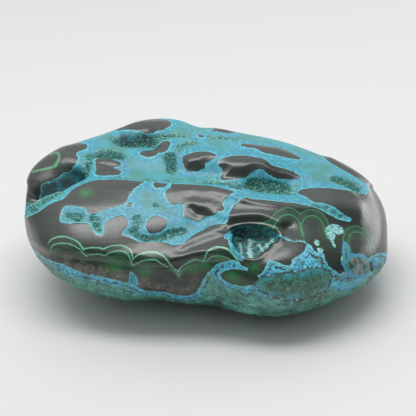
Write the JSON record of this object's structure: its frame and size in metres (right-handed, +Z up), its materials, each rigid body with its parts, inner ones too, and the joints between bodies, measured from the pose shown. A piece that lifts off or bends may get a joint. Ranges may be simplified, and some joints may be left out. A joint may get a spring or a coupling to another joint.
{
  "type": "polished chrysocolla and malachite stone",
  "caption": "Polished freeform stone of blue chrysocolla and dark banded malachite with drusy pits and an open vug, lying on a flat ground underside",
  "frame": {"origin": "on the surface the stone rests on, under the middle of its box", "axes": "+Z up, +X along the stone's length, -Y towards its best face"},
  "size_m": [0.094, 0.0686, 0.0349],
  "materials": {
    "stone": "polished"
  },
  "bodies": {
    "root": {"stone": "stone"}
  },
  "joints": []
}
